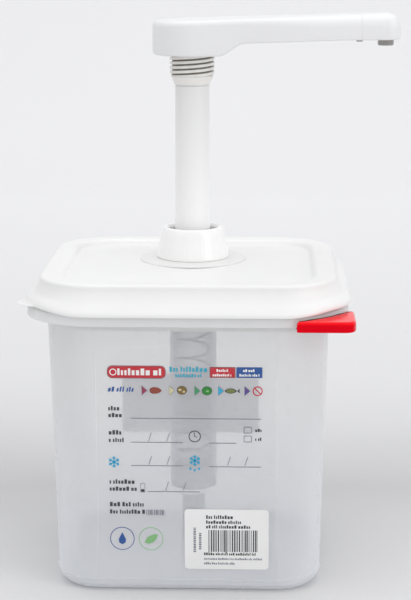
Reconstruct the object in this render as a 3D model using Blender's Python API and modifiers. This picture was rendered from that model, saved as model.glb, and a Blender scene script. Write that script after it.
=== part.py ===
"""Condiment pump dispenser: a plastic food pan with a press-on lid, a corner clip, and a
spring-return plunger pump that hangs from the lid and pours through a long swivelling arm.

Units are metres and +Z is up. The origin is the centre of the pan's base. +X runs along the
pan's longer side, the way the arm points, and -Y is the labelled front.
"""
import math

import bmesh
import bpy
from mathutils import Matrix, Vector

# ---------------------------------------------------------------- driving dimensions
GAP = 0.0003                  # space left between pieces that touch

# Pan and lid outlines are round-cornered rectangles whose corner arcs share these centres.
CORNER_X, CORNER_Y = 0.0488, 0.0418
CORNER_STEPS = 8             # points on each corner arc

PAN_BASE_R, PAN_TOP_R = 0.0239, 0.02775   # corner radius at the base and at PAN_DRAFT_Z
PAN_DRAFT_Z = 0.150
PAN_WALL = 0.0016
PAN_BASE_FILLET = 0.0068
RIM_UNDER_Z, RIM_TOP_Z = 0.1575, 0.1591
RIM_LIP_Z = 0.1530
RIM_OUTER_R = 0.0392

LID_TOP_Z = 0.1739
LID_SHEET = 0.0012
LID_HOLE_R = 0.0153
LID_CENTRE_Z = 0.1750
LID_FLOOR_Z = 0.1709
LID_SKIRT_Z = 0.1580
LID_PLUG_Z = 0.1478
SKIRT_RISE = 0.0020           # how far the skirt's edge lifts at the corners and short sides
TAB_ANGLE, TAB_WIDTH, TAB_LENGTH = 200.0, 16.0, 0.0052

CLIP_OUT_X, CLIP_OUT_Y = 0.0900, -0.0835
CLIP_ARM_X, CLIP_ARM_Y = 0.0313, 0.0290   # how far the clip runs along each side of the corner
CLIP_BASE_Z, CLIP_TOP_Z = 0.1511, 0.1568
CLIP_FLOOR = 0.0016
CLIP_CORNER_R = 0.0050
CLIP_INNER_R = 0.0345

PUMP_X, PUMP_Y = 0.001, 0.0   # the pump's axis
CYLINDER_R, CYLINDER_BORE = 0.0132, 0.0112
CYLINDER_BASE_Z = 0.0417
NECK_R, NECK_BORE, NECK_TOP_Z = 0.0150, 0.0129, 0.1897
NECK_STEP_Z = 0.1640
FLANGE_R, FLANGE_TOP_Z, FLANGE_THICK = 0.0200, 0.1720, 0.0026
STEM_R, STEM_FOOT_R, STEM_BORE = 0.0095, 0.0099, 0.0062
STEM_TAPER_Z = (0.1930, 0.2715)   # the stem widens downwards between these
STEM_BASE_Z, STEM_TOP_Z = 0.1603, 0.3000
PISTON_R, PISTON_BASE_Z, PISTON_TOP_Z = 0.0109, 0.1470, 0.1600
PISTON_GROOVE_R, PISTON_GROOVE_H = 0.0088, 0.0022
PISTON_GROOVE_Z = (0.1508, 0.1556)
COLLAR_BASE_Z, COLLAR_TOP_Z = 0.1764, 0.1933
WASHER_R, WASHER_Z = 0.0298, (0.1753, 0.1761)
SLEEVE_BASE_Z, SLEEVE_TOP_Z = 0.2730, 0.2890
THREAD_CREST_R, THREAD_ROOT_R, THREAD_PITCH = 0.0124, 0.01105, 0.0026

SPRING_R, SPRING_WIRE_R, SPRING_TURNS = 0.0098, 0.0007, 10
SPRING_BASE_Z = 0.0525
FOOT_BALL_R, DISCHARGE_BALL_R = 0.0050, 0.0042
DIP_TUBE_R, DIP_TUBE_BORE = 0.0066, 0.0051
DIP_TUBE_Z = (0.0060, 0.0366)

HEAD_R = 0.0218
HEAD_BASE_Z, HEAD_TOP_Z = 0.2893, 0.3085
ARM_SEAM, ARM_TIP = 0.0930, 0.1143        # distances from the pump's axis
ARM_TIP_HALF_WIDTH = 0.0110
ARM_UNDER_Z, ARM_UNDER_SLOPE, ARM_TOP_SLOPE = 0.2958, 0.030, 0.032
ARM_STEP = (0.0150, 0.0295)               # the underside steps up between these
CHANNEL_R = 0.0040
NOZZLE_AT, NOZZLE_R, NOZZLE_BORE = 0.1065, 0.0044, 0.0030
NOZZLE_Z = (0.2942, 0.3022)

LABEL_GAP, LABEL_THICK = 0.0003, 0.0002

PLASTIC_WHITE = (0.86, 0.86, 0.84)
PLASTIC_CLEAR = (0.80, 0.82, 0.86)
SILICONE_GREY = (0.62, 0.63, 0.65)
STEEL = (0.62, 0.63, 0.65)
PAPER_WHITE = (0.90, 0.90, 0.90)
CLIP_RED = (0.80, 0.02, 0.03)


# ---------------------------------------------------------------- scene helpers
def clear_scene():
    for item in list(bpy.data.objects):
        bpy.data.objects.remove(item, do_unlink=True)


def new_collection(name):
    collection = bpy.data.collections.new(name)
    bpy.context.scene.collection.children.link(collection)
    return collection


def plastic(name, colour, roughness=0.4, metallic=0.0):
    material = bpy.data.materials.new(name)
    material.use_nodes = True
    shader = material.node_tree.nodes["Principled BSDF"]
    shader.inputs["Base Color"].default_value = (*colour, 1.0)
    shader.inputs["Roughness"].default_value = roughness
    shader.inputs["Metallic"].default_value = metallic
    return material


def add_object(name, data, collection, material=None, parent=None, place=(0.0, 0.0, 0.0)):
    item = bpy.data.objects.new(name, data)
    collection.objects.link(item)
    if material is not None:
        data.materials.append(material)
    place_under(item, parent, place)
    return item


def place_under(item, parent, place):
    """Put an object at a world place, keeping that place when it has a parent empty."""
    item.location = place
    if parent is not None:
        item.parent = parent
        item.location = Vector(place) - parent.location


def add_empty(name, collection, place, parent=None):
    empty = bpy.data.objects.new(name, None)
    collection.objects.link(empty)
    empty.empty_display_size = 0.01
    empty.location = place
    return empty


def as_cutter(item):
    item.hide_render = True
    item.display_type = "WIRE"


def cut(item, cutter):
    as_cutter(cutter)
    modifier = item.modifiers.new("cut_" + cutter.name, "BOOLEAN")
    modifier.operation = "DIFFERENCE"
    modifier.object = cutter


def smooth(mesh):
    mesh.shade_smooth()
    mesh.set_sharp_from_angle(angle=math.radians(40.0))


# ---------------------------------------------------------------- shape helpers
def turned(name, profile, collection, material, parent=None, steps=40):
    """Turn a closed profile of (radius, z) points about the pump's axis. The points run down
    the outer side and up the bore."""
    mesh = bpy.data.meshes.new(name)
    verts = [(radius, 0.0, z) for radius, z in profile]
    edges = [(i, (i + 1) % len(verts)) for i in range(len(verts))]
    mesh.from_pydata(verts, edges, [])
    item = add_object(name, mesh, collection, material, parent, (PUMP_X, PUMP_Y, 0.0))
    screw = item.modifiers.new("turn", "SCREW")
    screw.steps = steps
    screw.render_steps = steps
    screw.use_merge_vertices = True
    screw.merge_threshold = 0.00001
    screw.use_smooth_shade = True
    return item


def ring(spread, radius, z, steps=CORNER_STEPS, bump=None, rise=None):
    """One outline: corner arcs of a radius about centres spread from the pump's axis (0)
    to the pan's own corner centres (1). bump adds to the radius and rise to the height, each
    by direction in degrees."""
    points = []
    for corner in range(4):
        side_x = (1, -1, -1, 1)[corner]
        side_y = (1, 1, -1, -1)[corner]
        centre_x = side_x * CORNER_X * spread + PUMP_X * (1.0 - spread)
        centre_y = side_y * CORNER_Y * spread + PUMP_Y * (1.0 - spread)
        for step in range(steps):
            degrees = 90.0 * (corner + (step + 0.5) / steps)
            reach = radius + (bump(degrees) if bump else 0.0)
            height = z + (rise(degrees) if rise else 0.0)
            angle = math.radians(degrees)
            points.append((centre_x + reach * math.cos(angle), centre_y + reach * math.sin(angle), height))
    return points


def loft(name, rings, collection, material, parent=None, closed=False, place=(0.0, 0.0, 0.0)):
    """Skin a run of outlines with the same number of points. An open run is capped."""
    shape = bmesh.new()
    rows = [[shape.verts.new(point) for point in outline] for outline in rings]
    count = len(rows[0])
    pairs = list(zip(rows, rows[1:] + rows[:1])) if closed else list(zip(rows, rows[1:]))
    for lower, upper in pairs:
        for i in range(count):
            j = (i + 1) % count
            shape.faces.new((lower[i], lower[j], upper[j], upper[i]))
    if not closed:
        shape.faces.new(list(reversed(rows[0])))
        shape.faces.new(rows[-1])
    bmesh.ops.recalc_face_normals(shape, faces=shape.faces[:])
    mesh = bpy.data.meshes.new(name)
    shape.to_mesh(mesh)
    shape.free()
    smooth(mesh)
    return add_object(name, mesh, collection, material, parent, place)


def rod(name, start, end, radius, collection, steps=32):
    """A plain cylinder between two points."""
    axis = Vector(end) - Vector(start)
    shape = bmesh.new()
    bmesh.ops.create_cone(shape, cap_ends=True, segments=steps, radius1=radius, radius2=radius,
                          depth=axis.length)
    turn = axis.to_track_quat("Z", "Y").to_matrix().to_4x4()
    middle = (Vector(start) + Vector(end)) / 2.0
    bmesh.ops.transform(shape, matrix=Matrix.Translation(middle) @ turn, verts=shape.verts[:])
    mesh = bpy.data.meshes.new(name)
    shape.to_mesh(mesh)
    shape.free()
    return add_object(name, mesh, collection)


def ball(name, radius, centre_z, collection, material, parent):
    shape = bmesh.new()
    bmesh.ops.create_uvsphere(shape, u_segments=20, v_segments=12, radius=radius)
    mesh = bpy.data.meshes.new(name)
    shape.to_mesh(mesh)
    shape.free()
    mesh.shade_smooth()
    return add_object(name, mesh, collection, material, parent, (PUMP_X, PUMP_Y, centre_z))


def arc(centre, radius, start, end, steps):
    """Points on an arc, angles in degrees."""
    points = []
    for step in range(steps + 1):
        angle = math.radians(start + (end - start) * step / steps)
        points.append((centre[0] + radius * math.cos(angle), centre[1] + radius * math.sin(angle)))
    return points


def plate(name, outline, thickness, collection, material=None, parent=None):
    """A flat outline in the XY plane with a thickness, as a mesh centred on z = 0."""
    curve = bpy.data.curves.new(name, "CURVE")
    curve.dimensions = "2D"
    curve.fill_mode = "BOTH"
    curve.extrude = thickness / 2.0
    spline = curve.splines.new("POLY")
    spline.points.add(len(outline) - 1)
    for point, (x, y) in zip(spline.points, outline):
        point.co = (x, y, 0.0, 1.0)
    spline.use_cyclic_u = True
    source = add_object(name + "_outline", curve, collection)
    depsgraph = bpy.context.evaluated_depsgraph_get()
    mesh = bpy.data.meshes.new_from_object(source.evaluated_get(depsgraph))
    bpy.data.objects.remove(source, do_unlink=True)
    shape = bmesh.new()
    shape.from_mesh(mesh)
    bmesh.ops.remove_doubles(shape, verts=shape.verts[:], dist=0.00001)
    bmesh.ops.recalc_face_normals(shape, faces=shape.faces[:])
    shape.to_mesh(mesh)
    shape.free()
    mesh.name = name
    return add_object(name, mesh, collection, material, parent)


def blend(value, low, high):
    """0 below low, 1 above high, smooth between."""
    t = min(max((value - low) / (high - low), 0.0), 1.0)
    return t * t * (3.0 - 2.0 * t)


# ---------------------------------------------------------------- pan, labels and clip
def pan_radius(z):
    """The pan's outer corner radius at a height: it widens upwards."""
    return PAN_BASE_R + (PAN_TOP_R - PAN_BASE_R) * z / PAN_DRAFT_Z


def build_container(collection, material):
    fillet_centre = (PAN_BASE_R - PAN_BASE_FILLET, PAN_BASE_FILLET)
    outer = arc(fillet_centre, PAN_BASE_FILLET, -90.0, 0.0, 5)
    outer += [(pan_radius(PAN_DRAFT_Z), PAN_DRAFT_Z), (0.0281, 0.1565), (0.0288, RIM_UNDER_Z)]
    outer += [(0.0364, RIM_UNDER_Z), (0.0370, 0.1568), (0.0376, RIM_LIP_Z)]
    inner_fillet = PAN_BASE_FILLET - PAN_WALL
    inner = [(RIM_OUTER_R, RIM_LIP_Z), (0.0386, 0.1572), (0.0380, 0.1586), (0.0368, RIM_TOP_Z)]
    inner += [(0.0278, RIM_TOP_Z), (0.0267, 0.1580), (pan_radius(PAN_DRAFT_Z) - PAN_WALL, PAN_DRAFT_Z)]
    inner += arc((fillet_centre[0], PAN_BASE_FILLET), inner_fillet, 0.0, -90.0, 4)
    rings = [ring(1.0, radius, z) for radius, z in outer + inner]
    return loft("container", rings, collection, material)


def rounded_rectangle(width, height, radius):
    half_w = width / 2.0 - radius
    half_h = height / 2.0 - radius
    outline = []
    for turn, (side_x, side_y) in enumerate(((1, 1), (-1, 1), (-1, -1), (1, -1))):
        centre = (side_x * half_w, side_y * half_h)
        outline += arc(centre, radius, 90.0 * turn, 90.0 * turn + 90.0, 3)
    return outline


def build_label(name, collection, material, centre_x, centre_z, size, side, layer=0):
    """A thin film on the pan's drafted wall: side -1 is the front, +1 the back."""
    film = plate(name, rounded_rectangle(size[0], size[1], 0.002), LABEL_THICK, collection, material)
    draft = math.atan2(PAN_TOP_R - PAN_BASE_R, PAN_DRAFT_Z)
    stand_off = LABEL_GAP + LABEL_THICK / 2.0 + layer * (LABEL_THICK + LABEL_GAP)
    wall_y = side * (CORNER_Y + pan_radius(centre_z) + stand_off / math.cos(draft))
    film.rotation_euler = (math.radians(90.0) - side * draft, 0.0, 0.0)
    film.location = (centre_x, wall_y, centre_z)
    return film


def build_clip(collection, cutters, material):
    """A block that squares off the rim's front right corner and hooks under its lip."""
    base_x, base_y = CORNER_X, -CORNER_Y
    left_x = CLIP_OUT_X - CLIP_ARM_X
    back_y = CLIP_OUT_Y + CLIP_ARM_Y
    left_angle = math.degrees(math.asin((left_x - base_x) / CLIP_INNER_R))
    back_angle = math.degrees(math.asin((base_y - back_y) / CLIP_INNER_R))
    outline = [(left_x, CLIP_OUT_Y)]
    outline += arc((CLIP_OUT_X - CLIP_CORNER_R, CLIP_OUT_Y + CLIP_CORNER_R), CLIP_CORNER_R,
                   -90.0, 0.0, 6)
    outline += [(CLIP_OUT_X, back_y)]
    outline += arc((base_x, base_y), CLIP_INNER_R, -back_angle, -90.0 + left_angle, 8)
    height = CLIP_TOP_Z - CLIP_BASE_Z
    clip = plate("corner_clip", outline, height, collection, material)
    clip.location.z = (CLIP_TOP_Z + CLIP_BASE_Z) / 2.0
    floor_z = CLIP_BASE_Z + CLIP_FLOOR
    seat = rod("rim_seat", (base_x, base_y, floor_z), (base_x, base_y, CLIP_TOP_Z + 0.004),
               RIM_OUTER_R + GAP, cutters, steps=64)
    cut(clip, seat)
    return clip


# ---------------------------------------------------------------- lid and its fittings
def tab_bump(degrees):
    """Extra radius that draws the skirt's edge out into the pull tab."""
    away = abs(degrees - TAB_ANGLE) / TAB_WIDTH
    return TAB_LENGTH * math.cos(away * math.pi / 2.0) ** 0.5 if away < 1.0 else 0.0


def skirt_rise(degrees):
    """How far the skirt's edge is lifted by direction: not at all along the two long sides."""
    return SKIRT_RISE * blend(abs(degrees % 180.0 - 90.0), 12.0, 50.0)


def skirt_ring(radius, z, share=1.0, bump=None):
    """An outline of the skirt that takes a share of the edge's rise."""
    return ring(1.0, radius, z, bump=bump, rise=lambda degrees: share * skirt_rise(degrees))


def build_lid(collection, material, parent):
    floor = [(0.0, LID_HOLE_R, LID_CENTRE_Z), (0.4, 0.0166, 0.1744), (0.75, 0.0178, 0.1727)]
    top = [(0.0186, LID_FLOOR_Z), (0.0196, 0.1714), (0.0202, 0.1731), (0.0210, LID_TOP_Z)]
    top += [(0.0304, LID_TOP_Z), (0.0313, 0.1735), (0.0318, 0.1725), (0.0322, 0.1706)]
    top += [(0.0332, 0.1682), (0.0348, 0.1657)]
    skirt = [(0.0368, 0.1634, 0.2), (0.0387, 0.1611, 0.6)]
    edge = [(0.0397, 0.1593), (0.03995, LID_SKIRT_Z), (0.0388, LID_SKIRT_Z)]
    under = [(0.0385, 0.1594, 0.9), (0.0374, 0.1608, 0.6), (0.0356, 0.1627, 0.2)]
    inside = [(0.0337, 0.1650), (0.0321, 0.1677), (0.0310, 0.1704)]
    inside += [(0.0303, LID_TOP_Z - LID_SHEET), (0.0259, LID_TOP_Z - LID_SHEET)]
    inside += [(0.0255, LID_PLUG_Z), (0.0243, LID_PLUG_Z), (0.0247, LID_TOP_Z - LID_SHEET)]
    inside += [(0.0219, LID_TOP_Z - LID_SHEET), (0.0212, LID_FLOOR_Z - LID_SHEET)]
    rings = [ring(spread, radius, z) for spread, radius, z in floor]
    rings += [ring(1.0, radius, z) for radius, z in top]
    rings += [skirt_ring(*row) for row in skirt]
    rings += [skirt_ring(radius, z, bump=tab_bump) for radius, z in edge]
    rings += [skirt_ring(*row) for row in under]
    rings += [ring(1.0, radius, z) for radius, z in inside]
    rings += [ring(spread, radius, z - LID_SHEET) for spread, radius, z in reversed(floor)]
    return loft("lid", rings, collection, material, parent, closed=True)


def build_lid_fittings(collection, materials, parent):
    washer = [(WASHER_R, WASHER_Z[1]), (WASHER_R, WASHER_Z[0])]
    washer += [(LID_HOLE_R, WASHER_Z[0]), (LID_HOLE_R, WASHER_Z[1])]
    turned("lid_washer", washer, collection, materials["white"], parent)

    gasket_z = (FLANGE_TOP_Z + GAP, LID_CENTRE_Z - LID_SHEET - GAP)
    gasket = [(FLANGE_R, gasket_z[1]), (FLANGE_R, gasket_z[0])]
    gasket += [(LID_HOLE_R, gasket_z[0]), (LID_HOLE_R, gasket_z[1])]
    turned("lid_gasket", gasket, collection, materials["silicone"], parent)

    outer = [(0.0150, COLLAR_TOP_Z), (0.0160, 0.1932), (0.0169, 0.1924), (0.0174, 0.1908)]
    outer += [(0.0184, 0.1860), (0.0193, 0.1824), (0.0201, 0.1786), (0.0204, COLLAR_BASE_Z)]
    inner = [(NECK_R + GAP, COLLAR_BASE_Z), (NECK_R + GAP, NECK_TOP_Z + GAP)]
    inner += [(0.0134, NECK_TOP_Z + GAP), (0.0134, 0.1920), (0.0142, 0.1931)]
    turned("collar_nut", outer + inner, collection, materials["white"], parent)


# ---------------------------------------------------------------- pump: fixed pieces
def build_cylinder(collection, materials, parent):
    flange_under = FLANGE_TOP_Z - FLANGE_THICK
    outer = [(NECK_R, NECK_TOP_Z), (NECK_R, FLANGE_TOP_Z), (FLANGE_R, FLANGE_TOP_Z)]
    outer += [(FLANGE_R, flange_under), (NECK_R, flange_under), (NECK_R, 0.1615)]
    outer += [(CYLINDER_R, 0.1590), (CYLINDER_R, CYLINDER_BASE_Z)]
    inner = [(CYLINDER_BORE, CYLINDER_BASE_Z), (CYLINDER_BORE, NECK_STEP_Z)]
    inner += [(NECK_BORE, NECK_STEP_Z), (NECK_BORE, NECK_TOP_Z)]
    turned("pump_cylinder", outer + inner, collection, materials["clear"], parent)


def build_stem_guide(collection, materials, parent):
    guide_z = (NECK_STEP_Z + GAP, 0.1815)
    outer_r = NECK_BORE - GAP
    bore = STEM_FOOT_R + GAP
    guide = [(outer_r, guide_z[1]), (outer_r, guide_z[0]), (bore, guide_z[0]), (bore, guide_z[1])]
    turned("stem_guide", guide, collection, materials["white"], parent, steps=36)
    wiper_z = (guide_z[1] + GAP, 0.1843)
    wiper = [(0.0114, wiper_z[1]), (outer_r, wiper_z[0] + 0.001), (outer_r, wiper_z[0])]
    wiper += [(bore + 0.0008, wiper_z[0]), (bore, wiper_z[1])]
    turned("stem_wiper", wiper, collection, materials["silicone"], parent, steps=36)


def build_foot_valve(collection, materials, parent):
    """A plug in the cylinder's foot with a conical seat, and the cap that keeps its ball in."""
    outer = [(PISTON_R, 0.0500), (PISTON_R, CYLINDER_BASE_Z - GAP)]
    outer += [(CYLINDER_R, CYLINDER_BASE_Z - GAP), (CYLINDER_R, 0.0390), (0.0100, 0.0370)]
    outer += [(0.0048, 0.0370), (0.0048, 0.0250)]
    inner = [(0.0032, 0.0250), (0.0032, 0.0400), (0.0062, 0.0430), (0.0062, 0.0500)]
    turned("foot_valve_body", outer + inner, collection, materials["white"], parent, steps=32)

    outer = [(0.0060, 0.0555), (0.0082, 0.0540), (0.0082, SPRING_BASE_Z - GAP)]
    outer += [(0.0106, SPRING_BASE_Z - GAP), (0.0106, 0.0503)]
    inner = [(0.0066, 0.0503), (0.0066, 0.0530), (0.0030, 0.0532), (0.0030, 0.0555)]
    turned("foot_valve_cage", outer + inner, collection, materials["white"], parent, steps=32)

    tube = [(DIP_TUBE_R, DIP_TUBE_Z[1]), (DIP_TUBE_R, DIP_TUBE_Z[0])]
    tube += [(DIP_TUBE_BORE, DIP_TUBE_Z[0]), (DIP_TUBE_BORE, DIP_TUBE_Z[1])]
    turned("dip_tube", tube, collection, materials["clear"], parent, steps=32)


def build_spring(collection, material, parent):
    """A compression spring whose end turns close up against its seats."""
    low = SPRING_BASE_Z + SPRING_WIRE_R
    high = PISTON_BASE_Z - GAP - SPRING_WIRE_R
    per_turn = 10
    count = SPRING_TURNS * per_turn
    flat_turn = 0.9
    points = []
    for step in range(count + 1):
        turn = step / per_turn
        lift = min(max((turn - flat_turn) / (SPRING_TURNS - 2.0 * flat_turn), 0.0), 1.0)
        rise = SPRING_WIRE_R * 2.1
        ends = rise * (min(turn, flat_turn) - flat_turn) / flat_turn
        ends += rise * max(turn - SPRING_TURNS + flat_turn, 0.0) / flat_turn
        z = low + rise + (high - low - 2.0 * rise) * lift + ends
        angle = 2.0 * math.pi * turn
        points.append((SPRING_R * math.cos(angle), SPRING_R * math.sin(angle), z))
    curve = bpy.data.curves.new("return_spring", "CURVE")
    curve.dimensions = "3D"
    curve.bevel_depth = SPRING_WIRE_R
    curve.bevel_resolution = 2
    curve.use_fill_caps = True
    spline = curve.splines.new("POLY")
    spline.points.add(len(points) - 1)
    for point, place in zip(spline.points, points):
        point.co = (*place, 1.0)
    return add_object("return_spring", curve, collection, material, parent, (PUMP_X, PUMP_Y, 0.0))


# ---------------------------------------------------------------- pump: moving pieces
def seated_ball_z(cone_r, cone_z, radius):
    """Centre height of a ball just clear of a 45 degree conical seat."""
    return cone_z - cone_r + (radius + GAP) * math.sqrt(2.0)


def build_piston(collection, materials, parent):
    outer = [(PISTON_R, PISTON_TOP_Z)]
    for low in reversed(PISTON_GROOVE_Z):
        high = low + PISTON_GROOVE_H
        outer += [(PISTON_R, high), (PISTON_GROOVE_R, high), (PISTON_GROOVE_R, low), (PISTON_R, low)]
    outer += [(PISTON_R, 0.1480), (0.0100, PISTON_BASE_Z)]
    inner = [(0.0045, PISTON_BASE_Z), (0.0030, 0.1490), (0.0030, 0.1585), (0.0045, PISTON_TOP_Z)]
    turned("piston", outer + inner, collection, materials["white"], parent, steps=32)

    for name, low in zip(("piston_seal_lower", "piston_seal_upper"), PISTON_GROOVE_Z):
        middle = low + PISTON_GROOVE_H / 2.0
        half = PISTON_GROOVE_H / 2.0 - GAP
        inner_r = PISTON_GROOVE_R + GAP
        seal = [(0.0104, middle + half), (0.0109, middle), (0.0104, middle - half)]
        seal += [(inner_r, middle - half), (inner_r, middle + half)]
        turned(name, seal, collection, materials["silicone"], parent, steps=32)

    retainer = [(0.0059, 0.1712), (0.0059, 0.1700), (0.0026, 0.1700), (0.0026, 0.1712)]
    turned("discharge_valve_retainer", retainer, collection, materials["white"], parent, steps=24)


def build_stem(collection, materials, parent):
    stem = [(STEM_R, STEM_TOP_Z), (STEM_R, STEM_TAPER_Z[1]), (STEM_FOOT_R, STEM_TAPER_Z[0])]
    stem += [(STEM_FOOT_R, STEM_BASE_Z), (STEM_BORE, STEM_BASE_Z), (STEM_BORE, STEM_TOP_Z)]
    turned("pump_stem", stem, collection, materials["white"], parent, steps=36)

    outer = [(THREAD_ROOT_R, SLEEVE_TOP_Z)]
    for turn in range(4):
        crest = SLEEVE_TOP_Z - 0.0014 - turn * THREAD_PITCH
        outer += [(THREAD_ROOT_R, crest + 0.0008), (THREAD_CREST_R, crest + 0.0003)]
        outer += [(THREAD_CREST_R, crest - 0.0003), (THREAD_ROOT_R, crest - 0.0008)]
    outer += [(0.0112, 0.2776), (0.0105, 0.2744), (0.0101, SLEEVE_BASE_Z)]
    bore = STEM_R + GAP
    inner = [(bore, SLEEVE_BASE_Z), (bore, SLEEVE_TOP_Z)]
    turned("thread_sleeve", outer + inner, collection, materials["white"], parent, steps=32)


def arm_half_width(along):
    """Plan of the head and arm: round about the axis, then straight sides in to the tip."""
    lean = math.asin((HEAD_R - ARM_TIP_HALF_WIDTH) / ARM_TIP)
    touch = HEAD_R * math.sin(lean)
    if along <= touch:
        return math.sqrt(max(HEAD_R ** 2 - along ** 2, 0.0))
    return HEAD_R * math.cos(lean) - (along - touch) * math.tan(lean)


def arm_section(along, round_r=0.0042, shrink=0.0):
    """Cross-section of the head and arm, a rounded rectangle in the YZ plane."""
    half = arm_half_width(along) - shrink
    step = blend(along, *ARM_STEP)
    under_arm = ARM_UNDER_Z + ARM_UNDER_SLOPE * max(along - ARM_STEP[1], 0.0)
    low = HEAD_BASE_Z + (under_arm - HEAD_BASE_Z) * step + shrink
    high = HEAD_TOP_Z + ARM_TOP_SLOPE * along - shrink
    radius = min(round_r, half * 0.9)
    outline = []
    for turn, (side_y, level) in enumerate(((1, high), (-1, high), (-1, low), (1, low))):
        corner_r = radius if level == high else radius * 0.5
        centre_y = side_y * (half - corner_r)
        centre_z = level - corner_r if level == high else level + corner_r
        outline += [(along, y, z) for y, z in
                    arc((centre_y, centre_z), corner_r, 90.0 * turn, 90.0 * turn + 90.0, 3)]
    return outline


def channel_ends():
    """Middle of the arm's liquid channel over the pump's axis and at the nozzle."""
    def middle(along):
        under = ARM_UNDER_Z + ARM_UNDER_SLOPE * (along - ARM_STEP[1])
        return (under + HEAD_TOP_Z + ARM_TOP_SLOPE * along) / 2.0
    return (0.0, 0.0, middle(ARM_STEP[1])), (NOZZLE_AT, 0.0, middle(NOZZLE_AT))


def pump_place(point):
    return (point[0] + PUMP_X, point[1] + PUMP_Y, point[2])


def build_head(collection, cutters, materials, parent):
    back = [-HEAD_R * math.cos(math.radians(angle)) for angle in (7, 16, 27, 40, 55, 72, 90)]
    front = [0.008, ARM_STEP[0], 0.0178, 0.0205, 0.0235, 0.0265, ARM_STEP[1], 0.045, 0.070, ARM_SEAM]
    rings = [arm_section(along) for along in back + front]
    head = loft("pump_head", rings, collection, materials["white"], parent, place=(PUMP_X, PUMP_Y, 0.0))
    start, end = channel_ends()
    foot = pump_place((0.0, 0.0, HEAD_BASE_Z - 0.002))
    cut(head, rod("stem_socket", foot, pump_place((0.0, 0.0, STEM_TOP_Z + GAP)), STEM_R + GAP, cutters))
    inlet = pump_place((-0.004, 0.0, start[2]))
    cut(head, rod("head_channel", inlet, pump_place(end), CHANNEL_R, cutters, 24))


def build_spout(collection, cutters, materials, parent):
    seam = ARM_SEAM + GAP
    places = [seam, 0.1000, 0.1070, 0.1105, 0.1125]
    rings = [arm_section(along) for along in places]
    rings.append(arm_section(ARM_TIP, shrink=0.0014))
    tip = loft("spout_tip", rings, collection, materials["white"], parent, place=(PUMP_X, PUMP_Y, 0.0))
    start, end = channel_ends()
    inlet = pump_place((seam - 0.004, 0.0, end[2]))
    channel = rod("tip_channel", inlet, pump_place(end), CHANNEL_R, cutters, 24)
    cut(tip, channel)
    nozzle_x = NOZZLE_AT + PUMP_X
    socket = rod("nozzle_socket", (nozzle_x, PUMP_Y, 0.290), (nozzle_x, PUMP_Y, end[2]),
                 NOZZLE_R + GAP, cutters, 24)
    cut(tip, socket)
    nozzle = [(NOZZLE_R, NOZZLE_Z[1]), (NOZZLE_R, NOZZLE_Z[0]), (NOZZLE_BORE, NOZZLE_Z[0])]
    nozzle += [(NOZZLE_BORE, NOZZLE_Z[1])]
    item = turned("spout_nozzle", nozzle, collection, materials["silicone"], parent, steps=32)
    item.location = Vector((nozzle_x, PUMP_Y, 0.0)) - parent.location


# ---------------------------------------------------------------- assembly
def main():
    clear_scene()
    parts = new_collection("condiment_pump_dispenser")
    cutters = new_collection("cutters")
    materials = {
        "white": plastic("white_plastic", PLASTIC_WHITE, 0.35),
        "lid": plastic("lid_plastic", PLASTIC_WHITE, 0.45),
        "pan": plastic("pan_plastic", PLASTIC_CLEAR, 0.30),
        "clear": plastic("clear_plastic", PLASTIC_CLEAR, 0.25),
        "silicone": plastic("silicone", SILICONE_GREY, 0.60),
        "steel": plastic("spring_steel", STEEL, 0.30, 1.0),
        "paper": plastic("label_film", PAPER_WHITE, 0.50),
        "red": plastic("clip_red", CLIP_RED, 0.30),
    }
    lid_base = add_empty("lid_lift_axis", parts, (PUMP_X, PUMP_Y, 0.0))
    plunger = add_empty("plunger_axis", parts, (PUMP_X, PUMP_Y, PISTON_TOP_Z))
    head = add_empty("head_swivel_axis", parts, (PUMP_X, PUMP_Y, HEAD_BASE_Z))
    spout = add_empty("spout_slide_axis", parts, (PUMP_X + ARM_SEAM, PUMP_Y, HEAD_TOP_Z))

    build_container(parts, materials["pan"])
    build_label("front_label", parts, materials["paper"], -0.0005, 0.0765, (0.092, 0.113), -1)
    build_label("barcode_sticker", parts, materials["paper"], 0.0218, 0.0311, (0.0459, 0.0347), -1, 1)
    build_label("rear_label", parts, materials["paper"], -0.0039, 0.0706, (0.0842, 0.0374), 1)
    build_clip(parts, cutters, materials["red"])

    build_lid(parts, materials["lid"], lid_base)
    build_lid_fittings(parts, materials, lid_base)
    build_cylinder(parts, materials, lid_base)
    build_stem_guide(parts, materials, lid_base)
    build_foot_valve(parts, materials, lid_base)
    build_spring(parts, materials["steel"], lid_base)
    foot_z = seated_ball_z(0.0032, 0.0400, FOOT_BALL_R)
    ball("foot_valve_ball", FOOT_BALL_R, foot_z, parts, materials["steel"], lid_base)

    build_piston(parts, materials, plunger)
    discharge_z = seated_ball_z(0.0030, 0.1585, DISCHARGE_BALL_R)
    ball("discharge_valve_ball", DISCHARGE_BALL_R, discharge_z, parts, materials["steel"], plunger)
    build_stem(parts, materials, head)
    build_head(parts, cutters, materials, head)
    build_spout(parts, cutters, materials, spout)


main()
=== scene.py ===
"""Looks for the condiment pump dispenser: a translucent food pan with a printed front, a white
press-on lid with a red corner clip, and a plunger pump with a long pouring arm.

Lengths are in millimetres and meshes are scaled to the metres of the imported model's frame:
+Z up, -Y the labelled front. The camera and the lights are placed in metres.
"""
from math import asin, cos, degrees, pi, radians, sin, sqrt, tan

import bmesh
import bpy
from mathutils import Matrix, Vector


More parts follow.
